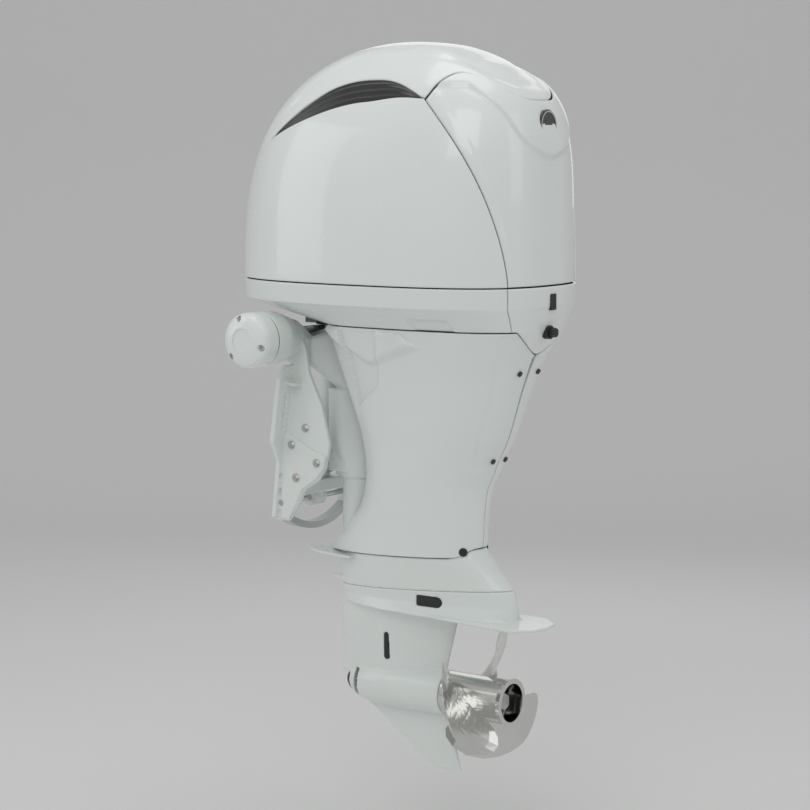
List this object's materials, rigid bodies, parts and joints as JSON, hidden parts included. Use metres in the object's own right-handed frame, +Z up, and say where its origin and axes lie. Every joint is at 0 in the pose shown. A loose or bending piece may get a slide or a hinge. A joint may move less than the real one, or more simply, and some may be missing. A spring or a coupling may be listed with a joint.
{
  "type": "outboard motor",
  "caption": "Large outboard boat motor with a lifting cowl, long pale leg fairing, power tilt and trim ram, electric steering across the clamp brackets, and a skewed stainless propeller.",
  "frame": {"origin": "centre of the transom's top edge, on the transom's aft face", "axes": "+X forward towards the boat's bow, +Y to port, +Z up along the leg"},
  "size_m": [0.908, 0.6582, 1.8825],
  "materials": {
    "white_paint": "glossy pale paint",
    "cowl_paint": "glossy pale moulding",
    "black_plastic": "matt black moulding",
    "rubber": "black rubber",
    "stainless": "stainless steel",
    "polished": "polished stainless",
    "steel": "machined steel",
    "zinc": "cast zinc",
    "bush": "nylon bushing",
    "alloy": "cast aluminium",
    "dark_alloy": "dark engine paint"
  },
  "bodies": {
    "transom_mount": {"clamp_bracket_port": "white_paint", "clamp_bracket_starboard": "white_paint", "tilt_bushes": "bush", "steering_housing_port": "white_paint", "steering_housing_starboard": "white_paint", "steering_cap_port": "cowl_paint", "steering_cap_starboard": "cowl_paint", "cap_seals": "rubber", "mount_bolts": "stainless", "bracket_anode": "zinc", "tilt_pump": "white_paint", "ram_lower_pin": "stainless"},
    "swivel": {"swivel_bracket": "white_paint", "tilt_tube": "stainless", "swivel_bushes": "bush"},
    "steering_slider": {"steering_rod": "stainless"},
    "tilt_cylinder": {"tilt_ram_cylinder": "white_paint"},
    "tilt_rod": {"tilt_ram_rod": "stainless"},
    "trim_pistons": {"trim_rods": "stainless"},
    "motor": {"steering_shaft": "steel", "steering_arm": "dark_alloy", "lower_yoke": "white_paint", "rubber_mounts": "rubber", "control_boot": "rubber", "exhaust_guide": "alloy", "upper_casing": "white_paint", "fairing_port": "cowl_paint", "fairing_starboard": "cowl_paint", "fairing_screws": "black_plastic", "bottom_cowl": "cowl_paint", "bottom_cowl_aft": "cowl_paint", "cowl_seal": "rubber", "splash_plate": "white_paint", "gearcase": "white_paint", "water_inlets": "black_plastic", "casing_grilles": "black_plastic", "bearing_carrier": "alloy", "water_pump": "alloy", "engine_block": "dark_alloy", "cylinder_heads": "dark_alloy", "valve_covers": "dark_alloy", "intake_manifold": "black_plastic", "ecu_box": "black_plastic", "flush_cap": "black_plastic"},
    "crank": {"flywheel": "steel", "crankshaft": "steel", "driveshaft": "steel", "pinion": "steel"},
    "forward_gear_body": {"forward_gear": "steel"},
    "reverse_gear_body": {"reverse_gear": "steel"},
    "propeller_body": {"propeller_shaft": "steel", "propeller": "polished"},
    "clutch": {"dog_clutch": "steel"},
    "top_cowl": {"cowl_side_port": "cowl_paint", "cowl_side_starboard": "cowl_paint", "cowl_roof": "cowl_paint", "cowl_rear_panel": "cowl_paint", "cowl_intake_grilles": "black_plastic", "cowl_badge": "black_plastic"},
    "trim_switch": {"tilt_switch": "black_plastic"}
  },
  "joints": [
    {"name": "tilt", "type": "hinge", "parent": "transom_mount", "child": "swivel", "pos_m": [0.008, 0, 0.07], "axis": [0, 1, 0], "range_deg": [0, 70]},
    {"name": "steer", "type": "hinge", "parent": "swivel", "child": "motor", "pos_m": [-0.121, 0, 0], "axis": [0, 0, 1], "range_deg": [-32, 32]},
    {"name": "steer_slide", "type": "slide", "parent": "swivel", "child": "steering_slider", "axis": [0, 1, 0], "range_m": [-0.08, 0.08]},
    {"name": "ram_swing", "type": "hinge", "parent": "transom_mount", "child": "tilt_cylinder", "pos_m": [0.03, 0, -0.372], "axis": [0, 1, 0], "range_deg": [0, 0.572]},
    {"name": "ram_extend", "type": "slide", "parent": "tilt_cylinder", "child": "tilt_rod", "axis": [-0.1691, 0, 0.9856], "range_m": [0, 0.0681]},
    {"name": "trim_extend", "type": "slide", "parent": "transom_mount", "child": "trim_pistons", "axis": [-0.9063, 0, 0.4226], "range_m": [0, 0.0451]},
    {"name": "crank_spin", "type": "hinge", "parent": "motor", "child": "crank", "pos_m": [-0.215, 0, 0], "axis": [0, 0, 1], "continuous": true},
    {"name": "forward_spin", "type": "hinge", "parent": "motor", "child": "forward_gear_body", "pos_m": [-0.215, 0, -0.85], "axis": [1, 0, 0], "continuous": true},
    {"name": "reverse_spin", "type": "hinge", "parent": "motor", "child": "reverse_gear_body", "pos_m": [-0.215, 0, -0.85], "axis": [1, 0, 0], "continuous": true},
    {"name": "propeller_spin", "type": "hinge", "parent": "motor", "child": "propeller_body", "pos_m": [-0.215, 0, -0.85], "axis": [1, 0, 0], "continuous": true},
    {"name": "clutch_shift", "type": "slide", "parent": "propeller_body", "child": "clutch", "axis": [1, 0, 0], "range_m": [-0.0055, 0]},
    {"name": "cowl_lift", "type": "slide", "parent": "motor", "child": "top_cowl", "axis": [0, 0, 1], "range_m": [0, 0.75]},
    {"name": "switch_rock", "type": "hinge", "parent": "motor", "child": "trim_switch", "pos_m": [-0.716, 0, 0.182], "axis": [0, 1, 0], "range_deg": [-5, 5], "stiffness_Nm_per_rad": 0.05}
  ],
  "couplings": [
    {"joint": "steer_slide", "follows": "steer", "m_per_rad": 0.14},
    {"joint": "ram_swing", "follows": "tilt", "ratio": 0.006676},
    {"joint": "ram_extend", "follows": "tilt", "m_per_rad": 0.055364},
    {"joint": "trim_extend", "follows": "tilt", "m_per_rad": 0.0368},
    {"joint": "forward_spin", "follows": "crank_spin", "ratio": -0.57143},
    {"joint": "reverse_spin", "follows": "crank_spin", "ratio": 0.57143},
    {"joint": "propeller_spin", "follows": "crank_spin", "ratio": -0.57143}
  ]
}
